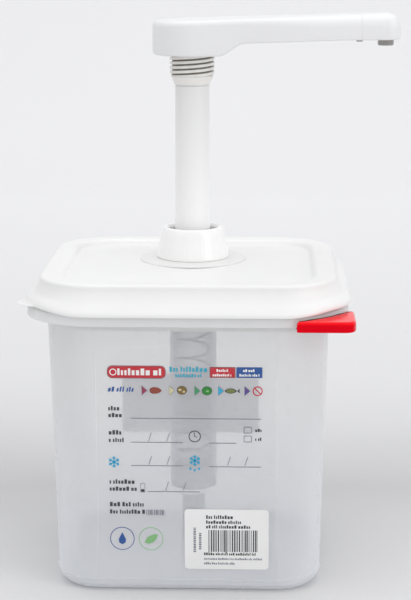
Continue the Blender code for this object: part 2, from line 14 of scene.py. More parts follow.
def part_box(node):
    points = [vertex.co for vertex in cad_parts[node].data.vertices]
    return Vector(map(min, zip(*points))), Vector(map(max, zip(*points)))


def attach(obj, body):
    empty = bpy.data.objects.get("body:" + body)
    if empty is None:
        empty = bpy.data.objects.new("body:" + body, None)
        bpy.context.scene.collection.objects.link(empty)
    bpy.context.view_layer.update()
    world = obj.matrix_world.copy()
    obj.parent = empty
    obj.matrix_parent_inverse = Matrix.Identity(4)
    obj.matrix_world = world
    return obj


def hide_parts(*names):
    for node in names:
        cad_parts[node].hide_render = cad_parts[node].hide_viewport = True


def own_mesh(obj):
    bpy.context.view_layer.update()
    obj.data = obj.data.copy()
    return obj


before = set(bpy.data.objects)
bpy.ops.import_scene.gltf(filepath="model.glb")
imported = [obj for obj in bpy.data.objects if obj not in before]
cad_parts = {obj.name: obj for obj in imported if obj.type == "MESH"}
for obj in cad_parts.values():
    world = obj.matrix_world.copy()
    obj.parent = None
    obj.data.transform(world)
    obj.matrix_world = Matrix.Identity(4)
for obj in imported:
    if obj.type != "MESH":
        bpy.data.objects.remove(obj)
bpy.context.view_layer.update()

# ---- sizes read from the frame
MM = 0.001


def box(node):
    """A CAD node's lowest and highest corner, in millimetres."""
    return [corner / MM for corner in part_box(node)]


pan_high = box("container")[1]
lid_high = box("lid")[1]
washer_high = box("lid_washer")[1]
tip_high = box("spout_tip")[1]
stem_low, stem_high = box("pump_stem")
head_low, head_high = box("pump_head")
collar_low, collar_high = box("collar_nut")
sleeve_low, sleeve_high = box("thread_sleeve")
cylinder_low, cylinder_high = box("pump_cylinder")
spring_low, spring_high = box("return_spring")
nozzle_low, nozzle_high = box("spout_nozzle")
clip_low, clip_high = box("corner_clip")

PUMP = Vector(((stem_low.x + stem_high.x) / 2.0, (stem_low.y + stem_high.y) / 2.0, 0.0))
RIM_R = 39.2                            # rim's outer corner radius
CORNER_X, CORNER_Y = pan_high.x - RIM_R, pan_high.y - RIM_R
CORNERS = ((1, 1), (-1, 1), (-1, -1), (1, -1))
ARC_STEPS = 22                          # points on each rounded corner

PAN_BASE_R, PAN_TOP_R, PAN_DRAFT_Z = 23.9, 27.75, 150.0
PAN_WALL, BASE_FILLET = 1.6, 6.8
HEAD_R = (head_high.y - head_low.y) / 2.0
SEAM = head_high.x - PUMP.x             # arm's joint with its tip, from the pump's axis
TIP = tip_high.x - PUMP.x
TIP_HALF_WIDTH = 11.0


def pan_radius(z):
    """The pan's outer corner radius at a height: its walls lean outwards."""
    return PAN_BASE_R + (PAN_TOP_R - PAN_BASE_R) * z / PAN_DRAFT_Z


# ---- node helpers for materials
class Graph:
    """A Principled material and short names for the nodes that shape it."""

    def __init__(self, name, colour, roughness, metallic=0.0):
        self.material = bpy.data.materials.new(name)
        self.material.use_nodes = True
        self.nodes = self.material.node_tree.nodes
        self.links = self.material.node_tree.links
        self.shader = self.nodes["Principled BSDF"]
        self.set("Base Color", colour)
        self.set("Roughness", roughness)
        self.set("Metallic", metallic)
        self.place = self.nodes.new("ShaderNodeTexCoord").outputs["Object"]

    def feed(self, socket, value):
        """Give a socket a number, a colour or another node's output."""
        if isinstance(value, bpy.types.NodeSocket):
            self.links.new(value, socket)
        else:
            socket.default_value = (*value, 1.0) if socket.type == "RGBA" else value

    def set(self, socket, value):
        self.feed(self.shader.inputs[socket], value)

    def surface(self, shader):
        self.feed(self.nodes["Material Output"].inputs["Surface"], shader)

    def node(self, kind, output, values, **settings):
        """Add a node, feed its sockets and return one of its outputs."""
        node = self.nodes.new("ShaderNode" + kind)
        for name, value in settings.items():
            setattr(node, name, value)
        for name, value in values.items():
            self.feed(node.inputs[name], value)
        return node.outputs[output]

    def noise(self, scale, detail=4.0, roughness=0.55, stretch=None):
        place = self.place
        if stretch is not None:
            place = self.node("Mapping", "Vector", {"Scale": stretch, "Vector": place})
        return self.node("TexNoise", "Fac", {"Scale": scale, "Detail": detail,
                                             "Roughness": roughness, "Vector": place})

    def ramp(self, value, low, high, start, end):
        """Map a value from the span low..high to start..end."""
        return self.node("MapRange", "Result", {"Value": value, "From Min": low, "From Max": high,
                                                "To Min": start, "To Max": end})

    def mix(self, factor, first, second):
        """Mix two colours; a Mix node's colour sockets are inputs 6 and 7 and output 2."""
        return self.node("Mix", 2, {0: factor, 6: first, 7: second}, data_type="RGBA")

    def math(self, operation, first, second):
        return self.node("Math", "Value", {0: first, 1: second}, operation=operation)

    def bump(self, height, distance):
        self.set("Normal", self.node("Bump", "Normal", {"Height": height, "Distance": distance * MM,
                                                        "Strength": 1.0}))

    def axis(self, name):
        """A point's X, Y or Z in the model's frame."""
        return self.node("SeparateXYZ", name, {"Vector": self.place})

    def facing(self, blend=0.5):
        """How edge on the surface is seen, for gloss and see-through walls."""
        return self.node("LayerWeight", "Facing", {"Blend": blend})

    def blend(self, factor, first, second):
        """Mix two shaders."""
        return self.node("MixShader", "Shader", {0: factor, 1: first, 2: second})

    def with_glow(self, share, colour):
        """The Principled shader with a share of light let through from behind."""
        glow = self.node("BsdfTranslucent", "BSDF", {"Color": colour})
        return self.blend(share, self.shader.outputs["BSDF"], glow)


def tone_ramp(nodes, stops):
    """A colour ramp of (position, grey) stops with a barely cool cast."""
    node = nodes.new("ShaderNodeValToRGB")
    elements = node.color_ramp.elements
    for _ in stops[2:]:
        elements.new(0.5)
    for element, (position, grey) in zip(elements, stops):
        element.position, element.color = position, (grey, grey, grey * 1.01, 1.0)
    return node


GLOW_SHARE = 0.5                        # how much of a translucent wall's light comes through it
MILK_HEIGHT = 130.0 * MM                # where the polypropylene's bluer base has faded out


def moulded(name, colour, shade, roughness, grain=900.0, depth=0.012, through=0.0, gloss=None,
            fade=None):
    """Injection-moulded plastic: faint flow mottling, uneven gloss and a fine mould texture.
    through is the share of light that passes a thin wall, gloss the specular level face on and
    edge on, and fade (height, height, colour) painted light: a paler colour that fades out
    between two heights."""
    graph = Graph(name, colour, roughness)
    flow = graph.mix(graph.ramp(graph.noise(38.0, 3.0), 0.35, 0.7, 0.0, 1.0), colour, shade)
    # painted light: a paler colour laid over the mottling between two heights
    if fade:
        low, high, pale = fade
        flow = graph.mix(graph.ramp(graph.axis("Z"), low * MM, high * MM, 1.0, 0.0), flow, pale)
    if gloss:
        graph.set("Specular IOR Level", graph.ramp(graph.facing(), 0.3, 0.8, *gloss))
    graph.set("Base Color", flow)
    smears = graph.noise(45.0, 2.0, 0.5)
    graph.set("Roughness", graph.ramp(smears, 0.2, 0.8, roughness * 0.9, roughness * 1.15))
    graph.bump(graph.noise(grain, 2.0, 0.6), depth)
    if through:
        graph.surface(graph.with_glow(through, flow))
    return graph.material


def threaded(name, colour, groove, roughness, root, crest, thread_z):
    """Moulded white with painted shade in the thread's grooves: it darkens with depth below the
    crests, above a height.
    """
    graph = Graph(name, colour, roughness)
    across, along = graph.math("SUBTRACT", graph.axis("X"), PUMP.x * MM), graph.axis("Y")
    square = graph.math("ADD", graph.math("MULTIPLY", across, across),
                        graph.math("MULTIPLY", along, along))
    radius = graph.math("POWER", square, 0.5)
    # painted shade: the groove colour deepens below the crests, plus a little random tone
    painted_shade = graph.math("ADD", graph.ramp(radius, root * MM, crest * MM, 0.0, 0.9),
                       graph.ramp(graph.noise(260.0, 3.0), 0.3, 0.7, 0.0, 0.1))
    below = graph.ramp(graph.axis("Z"), (thread_z - 0.6) * MM, (thread_z + 0.2) * MM, 1.0, 0.0)
    graph.set("Base Color", graph.mix(graph.math("MAXIMUM", painted_shade, below), groove, colour))
    graph.bump(graph.noise(900.0, 2.0, 0.6), 0.01)
    return graph.material


def translucent(name, colour, low_colour, roughness, clear, edge, base_milk=0.0):
    """Natural polypropylene: milky, bluer towards the base and lit through from behind, with
    see-through walls that close up where they are seen edge on. clear and edge are how solid a
    wall looks face on and edge on, and base_milk adds to that in the thicker base and rim."""
    graph = Graph(name, colour, roughness)
    height = graph.axis("Z")
    cloud = graph.noise(22.0, 4.0)
    depth = graph.math("ADD", graph.ramp(height, 0.0, MILK_HEIGHT, 0.0, 0.9),
                       graph.ramp(cloud, 0.3, 0.75, 0.0, 0.1))
    milk = graph.mix(depth, low_colour, colour)
    graph.set("Base Color", milk)
    haze = graph.noise(120.0, 4.0, 0.65)
    graph.set("Roughness", graph.ramp(haze, 0.3, 0.7, roughness * 0.85, roughness * 1.2))
    graph.bump(graph.noise(500.0, 2.0), 0.01)
    body = graph.math("ADD", graph.ramp(graph.facing(0.35), 0.0, 1.0, clear, edge),
                      graph.ramp(cloud, 0.3, 0.7, -0.015, 0.015))
    base = graph.ramp(height, 0.0, 0.4 * MILK_HEIGHT, base_milk, 0.0)
    rim = graph.ramp(height, 1.15 * MILK_HEIGHT, 1.18 * MILK_HEIGHT, 0.0, 2.0 * base_milk)
    body = graph.math("ADD", body, graph.math("MAXIMUM", base, rim))
    hole = graph.node("BsdfTransparent", "BSDF", {})
    wall = graph.with_glow(GLOW_SHARE, milk)
    graph.surface(graph.blend(graph.math("MINIMUM", body, 0.97), hole, wall))
    return graph.material


def metal(name, colour, roughness, grain_axis=(1.0, 1.0, 14.0)):
    graph = Graph(name, colour, roughness, 1.0)
    grain = graph.noise(700.0, 3.0, 0.7, stretch=grain_axis)
    graph.set("Roughness", graph.ramp(grain, 0.3, 0.7, roughness * 0.7, roughness * 1.4))
    shade = tuple(0.82 * c for c in colour)
    graph.set("Base Color", graph.mix(graph.ramp(grain, 0.35, 0.65, 0.0, 1.0), colour, shade))
    graph.bump(grain, 0.006)
    return graph.material


def paper(name, colour, shade, roughness=0.55):
    """Coated label stock: fine fibres, slight yellowing in patches."""
    graph = Graph(name, colour, roughness)
    patches = graph.noise(60.0, 3.0)
    graph.set("Base Color", graph.mix(graph.ramp(patches, 0.3, 0.75, 0.0, 1.0), colour, shade))
    fibres = graph.noise(2400.0, 3.0, 0.7, stretch=(1.0, 1.0, 0.35))
    graph.set("Roughness", graph.ramp(fibres, 0.3, 0.7, roughness * 0.9, roughness * 1.15))
    graph.bump(fibres, 0.008)
    return graph.material


def ink(name, colour, roughness=0.45):
    """Screen-printed ink: nearly even, slightly thin in places."""
    graph = Graph(name, colour, roughness)
    thin = tuple(min(1.0, c * 0.9 + 0.05) for c in colour)
    speckle = graph.noise(1500.0, 2.0, 0.7)
    graph.set("Base Color", graph.mix(graph.ramp(speckle, 0.45, 0.8, 0.0, 1.0), colour, thin))
    graph.bump(speckle, 0.003)
    return graph.material


WHITE, WARM_WHITE = (0.86, 0.865, 0.86), (0.835, 0.84, 0.83)
mats = {
    "lid": moulded("lid_white", (0.905, 0.905, 0.90), (0.89, 0.89, 0.88), 0.30, 400.0, 0.003, 0.06),
    "white": moulded("pump_white", WHITE, WARM_WHITE, 0.30, 900.0, 0.006),
    "collar": moulded("collar_white", (0.965, 0.965, 0.96), (0.95, 0.95, 0.94), 0.18, 500.0, 0.004),
    "head": moulded("head_white", (0.822, 0.825, 0.828), (0.808, 0.811, 0.813), 0.32, 1000.0,
                    0.006),
    # painted light and shade: the stem is paler just above the collar and darker up under the head
    "stem": moulded("stem_white", (0.80, 0.802, 0.792), (0.785, 0.787, 0.775), 0.30, 1100.0, 0.002,
                    fade=(collar_high.z, sleeve_low.z, (0.965, 0.965, 0.955))),
    "washer": moulded("washer_white", (0.81, 0.81, 0.80), (0.79, 0.79, 0.78), 0.35, 400.0, 0.002),
    # painted shade: the second colour is the dark shade painted into the thread's grooves
    "thread": threaded("thread_white", (0.82, 0.81, 0.78), (0.18, 0.16, 0.12), 0.35,
                       11.1, 11.9, sleeve_high.z - 11.2),
    "nozzle": moulded("nozzle_grey", (0.33, 0.32, 0.31), (0.29, 0.28, 0.27), 0.35),
    "silicone": moulded("silicone_grey", (0.62, 0.63, 0.65), (0.55, 0.56, 0.58), 0.55, 1400.0,
                        0.02),
    # painted highlight: the clip's top face and top edge are painted a brighter red
    "clip": moulded("clip_red_plastic", (0.78, 0.002, 0.012), (0.72, 0.002, 0.010), 0.18, 700.0,
                    0.004, gloss=(0.02, 0.9),
                    fade=(clip_high.z - 0.3, clip_high.z - 1.8, (1.0, 0.012, 0.018))),
    "pan": translucent("pan_polypropylene", (0.985, 0.985, 0.985), (0.95, 0.965, 0.99),
                       0.30, 0.33, 0.92, 0.2),
    "cylinder": translucent("cylinder_plastic", (0.42, 0.46, 0.54), (0.37, 0.41, 0.50),
                            0.25, 0.17, 0.88),
    "spring": metal("spring_wire", (0.07, 0.09, 0.14), 0.45),
    "ball": metal("ball_polished", (0.62, 0.63, 0.65), 0.12, (1.0, 1.0, 1.0)),
    "sticker": paper("sticker_stock", (0.86, 0.86, 0.86), (0.83, 0.83, 0.82)),
    "rear": paper("rear_label_stock", (0.66, 0.68, 0.72), (0.63, 0.65, 0.69)),
}
INKS = {
    "black": (0.035, 0.037, 0.045), "grey": (0.20, 0.21, 0.25), "red": (0.54, 0.015, 0.03),
    "blue": (0.012, 0.08, 0.30), "teal": (0.03, 0.36, 0.50), "sky": (0.02, 0.38, 0.62),
    "white": (0.85, 0.85, 0.85), "magenta": (0.30, 0.035, 0.09), "maroon": (0.22, 0.012, 0.02),
    "cream": (0.62, 0.57, 0.34), "bread": (0.20, 0.13, 0.03), "green": (0.05, 0.30, 0.12),
    "leaf": (0.02, 0.22, 0.025), "fish": (0.16, 0.19, 0.05), "purple": (0.10, 0.06, 0.26),
    "lime": (0.22, 0.48, 0.20), "bark": (0.09, 0.05, 0.015), "pine": (0.01, 0.10, 0.015),
    "navy": (0.06, 0.10, 0.30), "meat": (0.27, 0.05, 0.025),
}


# ---- mesh helpers
def finish_mesh(name, shape, look, crease=38.0):
    """Make an object of a bmesh in millimetres. Edges sharper than crease degrees stay crisp."""
    bmesh.ops.recalc_face_normals(shape, faces=shape.faces[:])
    bmesh.ops.scale(shape, vec=(MM, MM, MM), verts=shape.verts[:])
    mesh = bpy.data.meshes.new(name)
    shape.to_mesh(mesh)
    shape.free()
    mesh.shade_smooth()
    mesh.set_sharp_from_angle(angle=radians(crease))
    mesh.materials.append(mats[look])
    item = bpy.data.objects.new(name, mesh)
    bpy.context.scene.collection.objects.link(item)
    return item


def settle(item, body, slot, *nodes):
    """Put a finished piece on its body and hide the CAD nodes it stands for. slot is not used."""
    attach(item, body)
    if nodes:
        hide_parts(*nodes)


def rounded(corners, steps=5, closed=True):
    """Round a profile's (a, b, radius) corners. Those without a radius stay sharp."""
    points = []
    count = len(corners)
    for i, (a, b, *turn) in enumerate(corners):
        here, radius = Vector((a, b)), sum(turn)
        if radius <= 0.0 or (not closed and i in (0, count - 1)):
            points.append((a, b))
            continue
        before = Vector(corners[i - 1][:2]) - here
        after = Vector(corners[(i + 1) % count][:2]) - here
        reach = min(radius, before.length * 0.49, after.length * 0.49)
        start = here + before.normalized() * reach
        end = here + after.normalized() * reach
        for step in range(steps + 1):
            t = step / steps
            point = start * (1 - t) ** 2 + here * 2 * t * (1 - t) + end * t ** 2
            points.append((point.x, point.y))
    return points


def corner_ring(spread, radius, z, bump=None, rise=None):
    """Outline with corner arcs; spread 0 is a circle about the pump's axis, 1 the pan's outline.
    bump adds to the radius and rise to the height, each by direction in degrees."""
    points = []
    for corner, (side_x, side_y) in enumerate(CORNERS):
        centre_x = side_x * CORNER_X * spread + PUMP.x * (1.0 - spread)
        centre_y = side_y * CORNER_Y * spread + PUMP.y * (1.0 - spread)
        for step in range(ARC_STEPS):
            bearing = 90.0 * (corner + (step + 0.5) / ARC_STEPS)
            angle = radians(bearing)
            reach = radius + (bump(bearing) if bump else 0.0)
            height = z + (rise(bearing) if rise else 0.0)
            points.append((centre_x + reach * cos(angle), centre_y + reach * sin(angle), height))
    return points


def beaded_ring(radius, z, bead=0.0):
    """The pan's outline with a slight bead where each flat side turns into its rounded corner."""
    points = []
    for corner, (side_x, side_y) in enumerate(CORNERS):
        centre = Vector((side_x * CORNER_X, side_y * CORNER_Y))
        for step in range(ARC_STEPS + 1):
            angle = radians(90.0 * (corner + step / ARC_STEPS))
            out = Vector((cos(angle), sin(angle)))
            place = centre + out * (radius + (bead if step in (0, ARC_STEPS) else 0.0))
            beside = centre + out * radius
            along = Vector((-out.y, out.x)) * BEAD_SIDE
            if step == 0:
                points.append((beside.x - along.x, beside.y - along.y, z))
            points.append((place.x, place.y, z))
            if step == ARC_STEPS:
                points.append((beside.x + along.x, beside.y + along.y, z))
    return points


def band(shape, first, second):
    """Quads between two loops of as many vertices."""
    for i in range(len(first)):
        j = (i + 1) % len(first)
        shape.faces.new((first[i], first[j], second[j], second[i]))


def arc(x, y, radius, first, last, steps):
    """Points on a circle, evenly from the first angle to the last, in degrees."""
    angles = [radians(first + (last - first) * step / steps) for step in range(steps + 1)]
    return [(x + radius * cos(angle), y + radius * sin(angle)) for angle in angles]


def skin(rings, closed=False):
    """Quads between successive outlines, as a bmesh. Its ends are capped, or joined if closed."""
    shape = bmesh.new()
    rows = [[shape.verts.new(point) for point in outline] for outline in rings]
    for lower, upper in zip(rows, rows[1:]):
        band(shape, lower, upper)
    if closed:
        band(shape, rows[-1], rows[0])
    else:
        shape.faces.new(list(reversed(rows[0])))
        shape.faces.new(rows[-1])
    return shape


def turned(name, profile, look, steps=96, centre=PUMP, ripple=None, crease=38.0):
    """Turn a profile about a vertical axis. ripple(angle, radius, z) adds to the radius."""
    rings = []
    for radius, z in profile:
        ring = []
        for step in range(steps):
            angle = 2.0 * pi * step / steps
            reach = radius + (ripple(angle, radius, z) if ripple else 0.0)
            ring.append((centre.x + reach * cos(angle), centre.y + reach * sin(angle), z))
        rings.append(ring)
    return finish_mesh(name, skin(rings, closed=True), look, crease)


def smoothstep(value, low, high):
    t = min(max((value - low) / (high - low), 0.0), 1.0)
    return t * t * (3.0 - 2.0 * t)


# ---- pan
BEAD, BEAD_SIDE = 0.45, 0.55            # height and half width of the pan's beads
BASE_RIDGE, BASE_RIDGE_UP = 0.8, 0.7


def build_pan():
    """A thin drafted shell with a rolled rim. Its bead marks the flat sides and the base."""
    top_r = pan_radius(PAN_DRAFT_Z)
    rim_top, rim_under, lip = pan_high.z, pan_high.z - PAN_WALL, 153.0
    centre = (PAN_BASE_R - BASE_FILLET, BASE_FILLET)
    ridge_z = BASE_FILLET + BASE_RIDGE_UP
    base = arc(*centre, BASE_FILLET, -90.0, 0.0, 12)[:-1] + [(pan_radius(BASE_FILLET), BASE_FILLET)]
    inside = [(pan_radius(z) - PAN_WALL, z) for z in (120.0, 90.0, 60.0, 30.0, 12.0)]
    inside += arc(*centre, BASE_FILLET - PAN_WALL, 0.0, -90.0, 9)
    rim = rounded([
        (top_r, PAN_DRAFT_Z - 6.0), (top_r + 0.3, 155.5, 1.5), (28.8, rim_under, 0.8),
        (37.0, rim_under, 0.8), (37.6, lip, 0.5), (RIM_R, lip, 0.5), (38.4, rim_top, 1.8),
        (27.0, rim_top, 1.2), (top_r - PAN_WALL, PAN_DRAFT_Z)], closed=False)
    rings = [beaded_ring(*row) for row in base]
    rings.append(beaded_ring(pan_radius(ridge_z) + BASE_RIDGE, ridge_z, BEAD))
    rings += [beaded_ring(pan_radius(z), z, BEAD) for z in (8.5, 30.0, 60.0, 90.0, 120.0, 138.0)]
    rings += [beaded_ring(*row) for row in rim + inside]
    pan = finish_mesh("pan_shell", skin(rings), "pan", 50.0)
    settle(pan, "pan", "pan_plastic", "container")


# ---- lid
TAB_ANGLE, TAB_WIDTH, TAB_LENGTH = 200.0, 15.0, 4.9
SKIRT_RISE = 2.0


def tab_bump(bearing):
    away = abs(bearing - TAB_ANGLE) / TAB_WIDTH
    return TAB_LENGTH * cos(away * pi / 2.0) ** 0.8 if away < 1.0 else 0.0


def skirt_ring(radius, z, bump=None):
    """A skirt outline. Its free edge lifts at the corners and along the two short sides."""
    share = smoothstep(radius, 34.0, 39.3)

    def rise(bearing):
        return share * SKIRT_RISE * smoothstep(abs(bearing % 180.0 - 90.0), 12.0, 50.0)
    return corner_ring(1.0, radius, z, bump, rise)


def build_lid():
    """A thin shell: a floor that falls from its hole, a border, a flared skirt and a plug wall."""
    sheet = 1.2
    centre, top, skirt = lid_high.z, lid_high.z - 1.1, 158.0
    floor = [(spread, radius, centre - drop) for spread, radius, drop in (
        (0.0, 15.3, 0.05), (0.0, 15.6, 0.0), (0.15, 15.9, 0.15), (0.3, 16.3, 0.45),
        (0.5, 16.9, 1.1), (0.7, 17.4, 2.05), (0.85, 17.7, 3.1))]
    border = rounded([
        (17.8, 171.1), (18.8, 170.85, 1.0), (20.9, top, 1.7), (31.8, top, 2.0), (32.3, 170.2, 2.5),
        (34.6, 165.9, 2.5), (38.7, 161.1, 2.0), (39.9, 159.4)], 7, closed=False)
    edge = rounded([
        (39.9, 159.4), (39.95, skirt, 0.4), (38.8, skirt, 0.3), (38.5, 159.4)], 4, closed=False)
    inside = [(38.5, 159.4), (37.4, 160.8), (35.6, 162.7), (33.7, 165.0), (32.1, 167.7),
              (31.0, 170.4), (30.3, 172.7), (25.9, 172.7), (25.5, 147.9), (24.3, 147.9),
              (24.7, 172.7), (21.6, 172.7), (20.6, 169.75), (18.3, 169.7)]
    rings = [corner_ring(*row) for row in floor]
    rings += [skirt_ring(*row) for row in border]
    rings += [skirt_ring(*row, tab_bump) for row in edge[1:-1]]
    rings += [skirt_ring(*row) for row in inside]
    rings += [corner_ring(spread, radius, z - sheet) for spread, radius, z in reversed(floor)]
    lid = finish_mesh("lid_shell", skin(rings, closed=True), "lid", 45.0)
    settle(lid, "lid_assembly", "lid_plastic", "lid")


def build_washer():
    """A thin flexible disc that settles from under the collar onto the dished lid."""
    bore, bend, outer = 15.4, 20.4, washer_high.y - PUMP.y
    droop, sheet = 0.95, 0.4
    top, base = washer_high.z, washer_high.z - sheet
    profile = rounded([
        (bore, top), (bend, top, 1.5), (outer - 0.3, top - droop, 0.2), (outer, base - droop, 0.1),
        (bend, base, 1.5), (bore, base)])
    washer = turned("lid_washer_disc", profile, "washer", 128)
    settle(washer, "lid_assembly", "washer_plastic", "lid_washer")


FLUTES, FLUTE_DEPTH = 36.0, 0.07


def build_collar():
    """The screw cap: a stepped taper with faint flutes and a rounded lip round the stem."""
    low, high = collar_low.z - 0.25, collar_high.z
    base_r = collar_high.y - PUMP.y
    seat = cylinder_high.z + 0.3
    profile = rounded([
        (15.3, low), (base_r, low, 0.3), (base_r, low + 0.9, 0.5), (19.4, low + 5.6, 2.5),
        (18.4, low + 9.4, 1.8), (17.5, high - 2.4, 1.2), (16.7, high, 1.5), (14.6, high, 0.7),
        (13.4, high - 1.6, 0.5), (13.4, seat), (15.3, seat)], 6)

    def flutes(angle, radius, z):
        above = smoothstep(z, low + 1.5, low + 4.0)
        below = 1.0 - smoothstep(z, high - 5.0, high - 3.0)
        outer = smoothstep(radius, 16.5, 17.5)
        wave = max(0.0, cos(FLUTES * angle)) ** 6
        return -FLUTE_DEPTH * (above * below) * outer * wave

    collar = turned("collar_cap", profile, "collar", 432, ripple=flutes, crease=50.0)
    settle(collar, "lid_assembly", "white_plastic", "collar_nut")


# ---- clip
def build_clip():
    """A glossy block that squares off the rim's front right corner, with a low boss on top
    and a plate that hooks under the rim."""
    centre = Vector((CORNER_X, -CORNER_Y))
    inner = RIM_R + 0.35
    out_x, out_y = clip_high.x, clip_low.y
    left_x, back_y = clip_low.x, clip_high.y
    left = asin((left_x - centre.x) / inner)
    back = asin((centre.y - back_y) / inner)
    outline = rounded([
        (left_x + 0.2, centre.y - inner * cos(left)), (left_x, out_y, 1.2), (out_x, out_y, 7.0),
        (out_x, back_y, 4.0), (centre.x + inner * cos(back), back_y - 0.2)], 8, closed=False)
    arc_steps = 28
    first, last = degrees(-back), degrees(left) - 90.0
    outline += arc(*centre, inner, first, last, arc_steps)[1:-1]
    bottom, top = clip_low.z, clip_high.z

    def level(inset, z):
        ring = []
        for i, (x, y) in enumerate(outline):
            x0, y0 = outline[i - 1]
            x1, y1 = outline[(i + 1) % len(outline)]
            along = Vector((x1 - x0, y1 - y0)).normalized()
            on_arc = (Vector((x, y)) - centre).length < inner + 0.05
            share = 0.15 if on_arc else 1.0
            ring.append((x - along.y * inset * share, y + along.x * inset * share, z))
        return ring

    edge, foot = 1.8, 0.7
    rings = [level(inset, z) for inset, z in arc(foot, bottom + foot, foot, 270.0, 180.0, 5)]
    rings += [level(inset, z) for inset, z in arc(edge, top - edge, edge, 180.0, 90.0, 9)]
    clip = finish_mesh("corner_clip_block", skin(rings), "clip", 45.0)
    settle(clip, "clip", "clip_red", "corner_clip")

    middle = Vector((82.3, -73.5, top))
    disc = rounded([(0.01, 0.30), (1.5, 0.26, 0.4), (2.1, 0.0, 0.2), (2.1, -0.5), (0.01, -0.5)])
    disc = [(radius, z + top - 0.05) for radius, z in disc]
    settle(turned("clip_boss", disc, "clip", 40, middle), "clip", "clip_red")

    first, last = first - degrees(0.03), last + degrees(0.03)
    hook = arc(*centre, inner + 0.4, first, last, arc_steps)
    hook += arc(*centre, 34.6, last, first, arc_steps)
    plate = skin([[(x, y, bottom + up) for x, y in hook] for up in (0.1, 1.5)])
    settle(finish_mesh("clip_hook", plate, "clip"), "clip", "clip_red")


# ---- arm and head
ARM_UNDER_Z, ARM_UNDER_SLOPE, ARM_TOP_SLOPE = 296.1, 0.028, 0.032
ARM_LEVEL_FROM = 84.0                   # the underside is level from here to the tip
HEAD_TOP_Z = head_high.z - ARM_TOP_SLOPE * SEAM
HEAD_BASE_Z = head_low.z


def arm_half_width(along):
    """Plan of the head and arm: round about the axis, then straight sides in to the tip."""
    lean = asin((HEAD_R - TIP_HALF_WIDTH) / TIP)
    touch = HEAD_R * sin(lean)
    if along <= touch:
        return sqrt(max(HEAD_R ** 2 - along ** 2, 0.0))
    return HEAD_R * cos(lean) - (along - touch) * tan(lean)


def arm_side(start, end, steps):
    places = [start + (end - start) * step / steps for step in range(steps)]
    return [(along, arm_half_width(along)) for along in places]


def arm_under(along):
    under = ARM_UNDER_Z + ARM_UNDER_SLOPE * max(min(along, ARM_LEVEL_FROM) - 29.5, 0.0)
    return HEAD_BASE_Z + (under - HEAD_BASE_Z) * smoothstep(along, 15.0, 29.5)


def arm_top(along):
    return HEAD_TOP_Z + ARM_TOP_SLOPE * along


def top_fillet(along):
    wide = 3.5 * smoothstep(along, 25.0, 85.0)
    wide += 1.1 * smoothstep(along, 85.0, 108.0)
    return 3.3 + wide


def under_fillet(along):
    return 1.6 - 0.6 * smoothstep(along, 20.0, 60.0)


def arm_skin(side, steps=9):
    """Skin one moulding of the arm from the plan points of its +Y side, which run from the flat
    joint face to the point on the centreline. Its edges are rounded by the two fillets."""
    normals = []
    for i, (x, y) in enumerate(side):
        x0, y0 = side[max(i - 1, 0)]
        x1, y1 = side[min(i + 1, len(side) - 1)]
        along = Vector((x1 - x0, y1 - y0)).normalized()
        normal = Vector((-along.y, along.x))
        outward = Vector((x - side[len(side) // 2][0], y + 1000.0))
        normals.append(normal if normal.dot(outward) > 0 else -normal)
    normals[0] = Vector((0.0, 1.0))
    normals[-1] = Vector((1.0 if side[-1][0] > side[0][0] else -1.0, 0.0))

    turns = [pi / 2.0 * step / (steps - 1) for step in range(steps)]
    arcs = [(1.0 - sin(turn), 1.0 - cos(turn)) for turn in turns]
    levels = [(under_fillet, arm_under, 1.0, inset, drop) for inset, drop in arcs]
    levels += [(top_fillet, arm_top, -1.0, inset, drop) for drop, inset in arcs]

    shape = bmesh.new()
    rows = []
    order = [(i, 1) for i in range(len(side))] + [(i, -1) for i in range(len(side) - 2, -1, -1)]
    for fillet, surface, way, inset_share, drop_share in levels:
        row = []
        for i, sign in order:
            size = fillet(side[i][0])
            x = side[i][0] - normals[i].x * (size * inset_share)
            y = max(side[i][1] - normals[i].y * (size * inset_share), 0.0)
            z = surface(x) + way * size * drop_share
            row.append(shape.verts.new((PUMP.x + x, PUMP.y + sign * y, z)))
        rows.append(row)
    width = len(order)
    for lower, upper in zip(rows, rows[1:]):
        for i in range(width - 1):
            shape.faces.new((lower[i], lower[i + 1], upper[i + 1], upper[i]))
    middle = width // 2
    for row in (rows[0], rows[-1]):
        for i in range(middle - 1):
            shape.faces.new((row[i], row[i + 1], row[width - 2 - i], row[width - 1 - i]))
        shape.faces.new((row[middle - 1], row[middle], row[middle + 1]))
    shape.faces.new([row[0] for row in rows] + [row[-1] for row in reversed(rows)])
    bmesh.ops.remove_doubles(shape, verts=shape.verts[:], dist=0.001)
    return shape


def build_head():
    """The head and the straight arm in one moulding, with a small catch under the joint."""
    side = arm_side(SEAM, 0.0, 46) + arc(0.0, 0.0, HEAD_R, 90.0, 180.0, 32)
    head = finish_mesh("pump_head_shell", arm_skin(side), "head", 40.0)
    settle(head, "head", "head_plastic", "pump_head")

    under = arm_under(SEAM)
    root, face, foot = under + 0.4, under - 0.1, under - 1.4
    profile = rounded([
        (0.01, root), (0.8, root), (0.8, face), (1.9, face, 0.2), (1.8, foot, 0.4), (0.01, foot)])
    place = Vector((PUMP.x + SEAM - 0.9, PUMP.y, 0.0))
    settle(turned("arm_catch", profile, "nozzle", 32, place), "head", "head_plastic")


